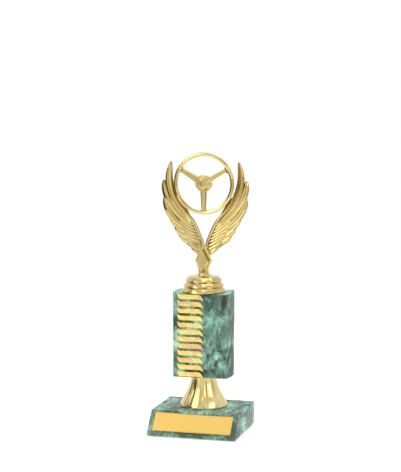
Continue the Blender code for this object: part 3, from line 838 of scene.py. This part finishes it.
# %% One spoke
SPOKE_START = 0.0055  # from the axle to the middle of the first, short stage
SPOKE_FIRST = 0.001
SPOKE_THICK = 0.0030
SPOKE_WIDTH = 0.0064
SPOKE_STAGES = ((0.0180, 0.68), (0.0016, 1.12), (0.0013, 1.38))  # length, share of the width
SPOKE_BORDER = 0.0008
SPOKE_SUNK = 0.00025
clear_selection()
bpy.ops.mesh.primitive_cube_add(size=1.0, location=(SPOKE_START, 0, 0))
spoke = bpy.context.object
spoke.scale = (SPOKE_FIRST, SPOKE_THICK, SPOKE_WIDTH)
apply_place(spoke)
bpy.ops.object.mode_set(mode="EDIT")
for reach, share in SPOKE_STAGES:
    pick("FACE", lambda f: f.normal.x > 0.9)
    bpy.ops.mesh.extrude_region_move(TRANSFORM_OT_translate={"value": (reach, 0, 0)})
    shape = bmesh.from_edit_mesh(spoke.data)
    end_x = max(v.co.x for v in shape.verts)
    bpy.ops.transform.resize(value=(1, 1, share), center_override=(end_x, 0, 0))
for side in (-1, 1):
    pick("FACE", lambda f: f.normal.y * side > 0.9)
    bpy.ops.mesh.inset(thickness=SPOKE_BORDER, depth=-SPOKE_SUNK)
bpy.ops.object.mode_set(mode="OBJECT")
use_modifier(spoke, "BEVEL", width=0.00022, segments=2, limit_method="ANGLE")
print("spoke", len(spoke.data.polygons), "faces")

# %% Three spokes and the hub in one
spokes = [hub]
for degrees in (30.0, 150.0, 270.0):
    copy = spoke.copy()
    copy.data = spoke.data.copy()
    bpy.context.scene.collection.objects.link(copy)
    copy.rotation_euler = (0, -math.radians(degrees), 0)
    copy.location = WHEEL
    apply_place(copy)
    spokes.append(copy)
bpy.data.objects.remove(spoke)
spider = joined(spokes, "wheel_spider")
tidy_mesh(spider, 14.0)
for piece, node_name in ((rim, "wheel_rim"), (spider, "wheel_spokes"), (cap, "wheel_hub_cap")):
    piece.data.materials.append(figure_gold)
    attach(piece, "figure")
    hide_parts(node_name)
print("wheel pieces", rim.name, spider.name, cap.name)

# %% [markdown]
# ## The neck and its lozenge
# The neck is drawn up out of the disc as a flat block that is resized at each level: a narrow
# waist, a diamond behind the lozenge, and a thin tongue that ends between the wings. An outline
# cut from a plate would be flat all over, while this one also changes its depth. The lozenge is
# a cylinder of four sides, whose front is inset and pulled out for a sloping border.

# %% Neck
NECK_LEVELS = [  # height, half width, half depth
    (0.0000, 0.0054, 0.0022),
    (0.0010, 0.0050, 0.0020),
    (0.0024, 0.0049, 0.0018),
    (0.0048, 0.0056, 0.0020),
    (0.0118, 0.0082, 0.0022),
    (0.0160, 0.0064, 0.0022),
    (0.0190, 0.0056, 0.0020),
    (0.0225, 0.0040, 0.0014),
    (0.0285, 0.0010, 0.0008),
]
stem_low, stem_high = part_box("stem")
neck_z = stem_low[2]
neck_y = (stem_low[1] + stem_high[1]) / 2
clear_selection()
bpy.ops.mesh.primitive_plane_add(size=1.0, location=(ROD_X, neck_y, neck_z))
neck = bpy.context.object
neck.name = neck.data.name = "winged_neck"
neck.scale = (NECK_LEVELS[0][1] * 2, NECK_LEVELS[0][2] * 2, 1)
apply_place(neck)
bpy.ops.object.mode_set(mode="EDIT")
bpy.ops.mesh.select_all(action="SELECT")
for before, level in zip(NECK_LEVELS, NECK_LEVELS[1:]):
    step = (0, 0, level[0] - before[0])
    bpy.ops.mesh.extrude_region_move(TRANSFORM_OT_translate={"value": step})
    bpy.ops.transform.resize(
        value=(level[1] / before[1], level[2] / before[2], 1),
        center_override=(ROD_X, neck_y, neck_z + level[0]),
    )
bpy.ops.object.mode_set(mode="OBJECT")
tidy_mesh(neck)
use_modifier(neck, "BEVEL", width=0.0007, segments=3, limit_method="ANGLE", angle_limit=0.6)
tidy_mesh(neck, 30.0)

# %% Lozenge
lozenge_low, lozenge_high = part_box("stem_lozenge")
lozenge_middle = (Vector(lozenge_low) + Vector(lozenge_high)) / 2
lozenge_thick = lozenge_high[1] - lozenge_low[1]
LOZENGE_BORDER = 0.0008
LOZENGE_RAISE = 0.0009  # from its side up to its face
clear_selection()
bpy.ops.mesh.primitive_cylinder_add(
    vertices=4,
    radius=1.0,
    depth=lozenge_thick - LOZENGE_RAISE,
    location=(lozenge_middle.x, lozenge_middle.y + LOZENGE_RAISE / 2, lozenge_middle.z),
    rotation=(math.pi / 2, 0, 0),
)
lozenge = bpy.context.object
lozenge.name = lozenge.data.name = "neck_lozenge"
lozenge.scale = (
    (lozenge_high[0] - lozenge_low[0]) / 2,
    (lozenge_high[2] - lozenge_low[2]) / 2,
    1,
)
apply_place(lozenge)
bpy.ops.object.mode_set(mode="EDIT")
pick("FACE", lambda f: f.normal.y < -0.9)
bpy.ops.mesh.inset(thickness=LOZENGE_BORDER, depth=0.0)
bpy.ops.transform.translate(value=(0, -LOZENGE_RAISE, 0))
bpy.ops.object.mode_set(mode="OBJECT")
use_modifier(lozenge, "BEVEL", width=0.00012, segments=2, limit_method="ANGLE")
tidy_mesh(lozenge, 5.0)
for piece, node_name in ((neck, "stem"), (lozenge, "stem_lozenge")):
    piece.data.materials.append(figure_gold)
    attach(piece, "figure")
    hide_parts(node_name)
print("neck", len(neck.data.polygons), "lozenge", len(lozenge.data.polygons))

# %% [markdown]
# ## The wings
# On the real figure each wing is one relief of feathers that overlap like roof tiles. It could be
# sculpted, but a bundle of separate feathers gives the crisp steps between them by itself. One
# straight feather is modelled: a strip with a raised shaft, wide in its outer half and round at
# its tip. Each copy is scaled to its own length and width, laid along its own curve by a Curve
# modifier, and set a little behind the one before it. The wing is made lying on its back, with
# its front up, and is stood up when it is whole.
#
# Each feather carries a point attribute of painted shade that its gold reads as brown: 1 along
# both edges, a set value on the row beside them, a little at the tip, and 0 on the shaft. The short
# cover feathers lie on top, so their set value, and with it their painted shade, is lower.


# %% One straight feather
LIFT = 0.002  # a row that has its place waits this much higher, so it isn't picked again
# painted shade at the tip of each feather
TIP_PAINTED_SHADE = 0.6


def straight_feather(name, outline, rows, crease, painted_shade):
    """A feather of length 1 along X, half width 1 along Y, shaft height 1 along Z."""
    clear_selection()
    columns = len(outline) - 1
    bpy.ops.mesh.primitive_grid_add(x_subdivisions=columns, y_subdivisions=len(rows) - 1, size=1.0)
    made = bpy.context.object
    made.name = made.data.name = name
    made.location = (0.5, 0, 0)
    made.scale = (1, 2, 1)
    apply_place(made)
    # each vertex's painted shade: full on the edge rows, the set value beside them, some at the tip
    shade_marks = made.data.attributes.new("painted_shade", "FLOAT", "POINT")
    for vertex, mark in zip(made.data.vertices, shade_marks.data):
        row = round((vertex.co.y + 1) / 2 * (len(rows) - 1))
        from_edge = min(row, len(rows) - 1 - row)
        from_tip = round((1 - vertex.co.x) * columns)
        mark.value = max((1.0, painted_shade, 0.0, 0.0)[from_edge], TIP_PAINTED_SHADE if from_tip == 0 else 0.0)
    bpy.ops.object.mode_set(mode="EDIT")
    for number, (across, height) in enumerate(rows):
        start = -1 + 2 * number / (len(rows) - 1)
        pick("VERT", lambda v: abs(v.co.y - start) < 0.01 and v.co.z < 0.001)
        bpy.ops.transform.translate(value=(0, across - start, height + LIFT))
    bpy.ops.mesh.select_all(action="SELECT")
    bpy.ops.transform.translate(value=(0, 0, -LIFT))
    if crease:
        pick("EDGE", lambda e: min(v.co.z for v in e.verts) > 0.999)
        bpy.ops.transform.edge_crease(value=crease)
    for column, width in enumerate(outline):
        start = column / columns
        pick("VERT", lambda v: abs(v.co.x - start) < 0.2 / columns)
        # the shaft gets lower where the feather is narrow, but more slowly than the width
        bpy.ops.transform.resize(value=(1, width, width**0.6), center_override=(start, 0, 0))
    bpy.ops.object.mode_set(mode="OBJECT")
    return made


# %% Four feather patterns
# place across the strip from the outer edge to the inner one, and height
SHAFT_OUTSIDE = [(-1, 0), (-0.94, 0.22), (-0.60, 0.62), (-0.22, 1), (0.2, 0.86), (0.93, 0.55), (1, 0)]
SHAFT_INSIDE = [(-1, 0), (-0.94, 0.40), (-0.70, 0.80), (-0.36, 1), (0.25, 0.66), (0.93, 0.25), (1, 0)]
ROLLED = [(-1, 0), (-0.80, 0.66), (-0.42, 0.92), (0, 1), (0.42, 0.92), (0.80, 0.66), (1, 0)]
# half width at equal steps from the root to the tip
ROUND_TIP = [0.30, 0.45, 0.60, 0.73, 0.84, 0.92, 0.97, 1.0, 1.0, 1.0, 0.98, 0.93, 0.84, 0.66, 0.22]
LONG_TIP = [0.35, 0.50, 0.64, 0.77, 0.88, 0.96, 1.0, 1.0, 1.0, 0.98, 0.94, 0.86, 0.73, 0.53, 0.18]
ROLL = [0.65, 0.80, 0.9, 0.96, 1.0, 1.0, 1.0, 0.95, 0.88, 0.8, 0.7, 0.58, 0.45, 0.3, 0.1]
CREASE = 0.75
# the last number is the painted shade on the rows beside the edges
round_feather = straight_feather("round_feather", ROUND_TIP, SHAFT_OUTSIDE, CREASE, painted_shade=0.9)
long_feather = straight_feather("long_feather", LONG_TIP, SHAFT_INSIDE, CREASE, painted_shade=0.9)
cover_feather = straight_feather("cover_feather", ROUND_TIP, SHAFT_OUTSIDE, CREASE, painted_shade=0.5)
roll_feather = straight_feather("leading_roll", ROLL, ROLLED, 0.0, painted_shade=0.8)
print("feather columns", len(ROUND_TIP))


# %% [markdown]
# A feather could be bent with bones or a lattice, but a Curve modifier needs only the line that
# its shaft follows, and stretches it to that line's length. The line's points, the feather's
# width, its shaft's height and its depth in the wing are given in millimetres, as on a drawing.
# X is measured from the rod's axis, and the second number is the height above the block's
# underside.

# %% Laying a feather along its curve
WING_MM = 0.001
BLOCK_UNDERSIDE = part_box("base_block")[0][2]
STRAIGHT_LENGTH = 0.04  # before the curve stretches it


def lay_feather(pattern, points, width, height, depth, tilt):
    """A copy of a feather, bent along a smooth curve through points given in millimetres."""
    made = pattern.copy()
    made.data = pattern.data.copy()
    bpy.context.scene.collection.objects.link(made)
    made.scale = (STRAIGHT_LENGTH, width * WING_MM / 2, height * WING_MM)
    apply_place(made)
    use_modifier(made, "MIRROR", use_axis=(False, False, True), merge_threshold=DOUBLES)
    made.rotation_euler = (math.radians(tilt), 0, 0)
    apply_place(made)
    line_data = bpy.data.curves.new("feather_line", "CURVE")
    line_data.dimensions = "2D"
    line_data.resolution_u = 24
    line_data.use_stretch = True
    line_data.use_deform_bounds = True
    line = line_data.splines.new("BEZIER")
    line.bezier_points.add(len(points) - 1)
    for knot, (x, z) in zip(line.bezier_points, points):
        knot.co = (x * WING_MM, z * WING_MM, 0)
        knot.handle_left_type = knot.handle_right_type = "AUTO"
    guide = bpy.data.objects.new("feather_line", line_data)
    bpy.context.scene.collection.objects.link(guide)
    bpy.context.view_layer.update()
    use_modifier(made, "CURVE", object=guide, deform_axis="POS_X")
    bpy.data.objects.remove(guide)
    made.location = (0, 0, depth * WING_MM)
    apply_place(made)
    return made


# %% [markdown]
# The long flight feathers come first, from the innermost, which carries the wing's tip, to the
# lowest. Then the short cover feathers fan out from the leading edge, and a rolled edge closes
# the wing from the neck up past the wheel. A thin web behind them fills the gaps. A rule can't
# give the fan of a carved wing, so each line is given one by one, with as few points as it needs.

# %% Drawing of the wing
FLIGHT = [
    # pattern, curve, width, shaft height, depth, tilt
    (long_feather, [(14.6, 206), (26.4, 220), (34.3, 236), (36.9, 251), (34.6, 266)], 8.6, 2.3, 0.5, -10),
    (round_feather, [(14, 202), (26.4, 213), (35.8, 226), (41.0, 238), (42.6, 247.4)], 8.8, 2.1, -0.2, -2),
    (round_feather, [(12, 197), (25, 203), (34, 212), (39.2, 221), (42.2, 230.4)], 8.4, 1.8, -0.5, -3),
    (round_feather, [(9, 193), (18, 195.5), (25.6, 199.8), (31.6, 205.4), (36.2, 211.6)], 7.4, 1.6, -0.8, -1),
    (round_feather, [(5, 189), (12, 189.9), (19, 191.6), (25.6, 195.4), (31.2, 202)], 6.8, 1.4, -0.8, -6),
    (round_feather, [(3, 184.4), (9.5, 185), (16, 186.2), (22, 188.8), (26.8, 193.4)], 6.0, 1.3, -0.9, -6),
    (round_feather, [(1, 178.6), (7.6, 180.4), (14.0, 183.2), (20.0, 187.8)], 5.4, 1.3, -1.0, -6),
    (round_feather, [(2.6, 172.6), (5.6, 175.2), (9.4, 178.0), (14.2, 181.8)], 4.2, 1.2, -1.0, -6),
]
COVERS = [
    (cover_feather, [(4, 179.5), (8, 181), (12, 183.2), (16.5, 186.4)], 3.2, 0.5, 0.2, -6),
    (cover_feather, [(3.6, 183), (8.4, 184.6), (13.4, 186.8), (19, 190.2)], 3.4, 0.5, 0.3, -6),
    (cover_feather, [(4.2, 186.4), (9.8, 188.2), (15.6, 190.8), (21.6, 194.6)], 3.4, 0.5, 0.4, -6),
    (cover_feather, [(5.2, 189.6), (11, 191.6), (17.2, 194.6), (23.6, 199)], 3.4, 0.5, 0.5, -6),
    (cover_feather, [(6.4, 192.8), (12.2, 195), (18.6, 198.4), (25.2, 203.6)], 3.4, 0.5, 0.6, -6),
    (cover_feather, [(7.6, 196), (13.4, 198.6), (19.6, 202.4), (26.2, 208.4)], 3.4, 0.5, 0.6, -6),
    (cover_feather, [(8.8, 199.2), (14.4, 202), (20.4, 206.2), (26.8, 213)], 3.4, 0.5, 0.7, -6),
    (cover_feather, [(10, 202.4), (15.4, 205.4), (21.2, 210), (27.4, 217.6)], 3.4, 0.5, 0.7, -6),
    (cover_feather, [(11.4, 205.6), (16.4, 208.8), (22, 213.8), (28, 222.4)], 3.4, 0.5, 0.7, -6),
]
WEB = (round_feather, [(3, 176), (11.4, 192), (20.5, 209), (33.5, 234)], 13.0, 0.7, -0.5, 0)
EDGE = (
    roll_feather,
    [
        (3.2, 171.5), (2.0, 179), (2.5, 186.2), (5.5, 192.9), (9.2, 201.6), (11.2, 205.6),
        (13.4, 209), (16.4, 212.2), (19.8, 215.6), (23.8, 220.8), (27.4, 227), (30.2, 236),
    ],
    3.6,
    1.9,
    0.3,
    0,
)


# %% Building both wings
# The root comes forward in small steps to meet the neck: below each level, by one step more.
ROOT_BENDS = (184.5, *(183.2 - 1.2 * step for step in range(9)))
ROOT_BEND_STEP = 0.36


def build_wing(name, node_name, side):
    """Lays every feather, joins them, stands the wing up and, for the left one, mirrors it."""
    feathers = [lay_feather(*feather) for feather in [WEB, *FLIGHT, *COVERS, EDGE]]
    wing = joined(feathers, name)
    bpy.ops.object.mode_set(mode="EDIT")
    for level in ROOT_BENDS:
        pick("VERT", lambda v: v.co.y < level * WING_MM)
        bpy.ops.transform.translate(value=(0, 0, ROOT_BEND_STEP * WING_MM))
    bpy.ops.object.mode_set(mode="OBJECT")
    use_modifier(wing, "SUBSURF", levels=1, render_levels=1)
    low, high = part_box(node_name)
    wing.rotation_euler = (math.pi / 2, 0, 0)
    apply_place(wing)
    wing.scale = (side, 1, 1)
    wing.location = (ROD_X, (low[1] + high[1]) / 2, BLOCK_UNDERSIDE)
    apply_place(wing)
    tidy_mesh(wing, 50.0)
    wing.data.materials.append(figure_gold)
    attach(wing, "figure")
    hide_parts(node_name)
    span = [round(axis * 1000, 1) for axis in wing.dimensions]
    print(name, len(wing.data.polygons), "faces, size in mm", span)
    return wing


right_wing = build_wing("feathered_wing_right", "right_wing", 1)
left_wing = build_wing("feathered_wing_left", "left_wing", -1)
for pattern in (round_feather, long_feather, cover_feather, roll_feather):
    bpy.data.objects.remove(pattern)

# %% [markdown]
# ## The threaded rod
# One rod clamps the whole stack, and its thread shows in the counterbore under the block. A real
# thread is a helix, which a Screw modifier can make. At this size the pitch of one millimetre
# hides the difference, so the ridges are plain rings, extruded on the lathe.

# %% Threaded rod
THREAD_PITCH = 0.001
THREAD_DEPTH = 0.0005
rod_radius = (rod_high[0] - rod_low[0]) / 2
thread = [(rod_radius - 2 * THREAD_DEPTH, rod_low[2])]
height = rod_low[2] + THREAD_DEPTH
while height < rod_high[2] - THREAD_PITCH:
    thread.append((rod_radius - THREAD_DEPTH, height))
    thread.append((rod_radius, height + THREAD_PITCH / 2))
    height += THREAD_PITCH
thread.append((rod_radius - THREAD_DEPTH, height))
thread.append((rod_radius - 2 * THREAD_DEPTH, rod_high[2]))
threaded_rod = lathe("threaded_rod", thread, 24, AXIS)
threaded_rod.data.materials.append(zinc_steel)
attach(threaded_rod, "base")
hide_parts("tie_rod")

# %% [markdown]
# ## Floor
# A plain pale sheet that carries the trophy and bounces light back up into the gold. It could run
# to the horizon, but gold mirrors it: its far edge would then draw a dark line across the wheel
# and the neck. A round sheet of this size is mirrored only by the block, the bell and the foot
# of the column.

# %% Floor
FLOOR_RADIUS = 0.65
clear_selection()
bpy.ops.mesh.primitive_circle_add(vertices=96, radius=FLOOR_RADIUS, fill_type="NGON")
floor = bpy.context.object
floor.name = "studio_floor"
floor_finish, floor_tree, floor_shader, floor_place = finish("pale_floor", (0.9, 0.9, 0.9, 1), 0.6)
floor_grain = noise(floor_tree, floor_place, 9.0, 3.0)
floor_colours = [(0.3, (0.91, 0.91, 0.90, 1)), (0.7, (0.94, 0.94, 0.93, 1))]
link(
    floor_tree,
    ramp(floor_tree, floor_grain, floor_colours),
    floor_shader.inputs["Base Color"],
)
floor_shader.inputs["Emission Color"].default_value = (1, 1, 1, 1)
floor_shader.inputs["Emission Strength"].default_value = 0.30
floor.data.materials.append(floor_finish)
print("floor radius", FLOOR_RADIUS)
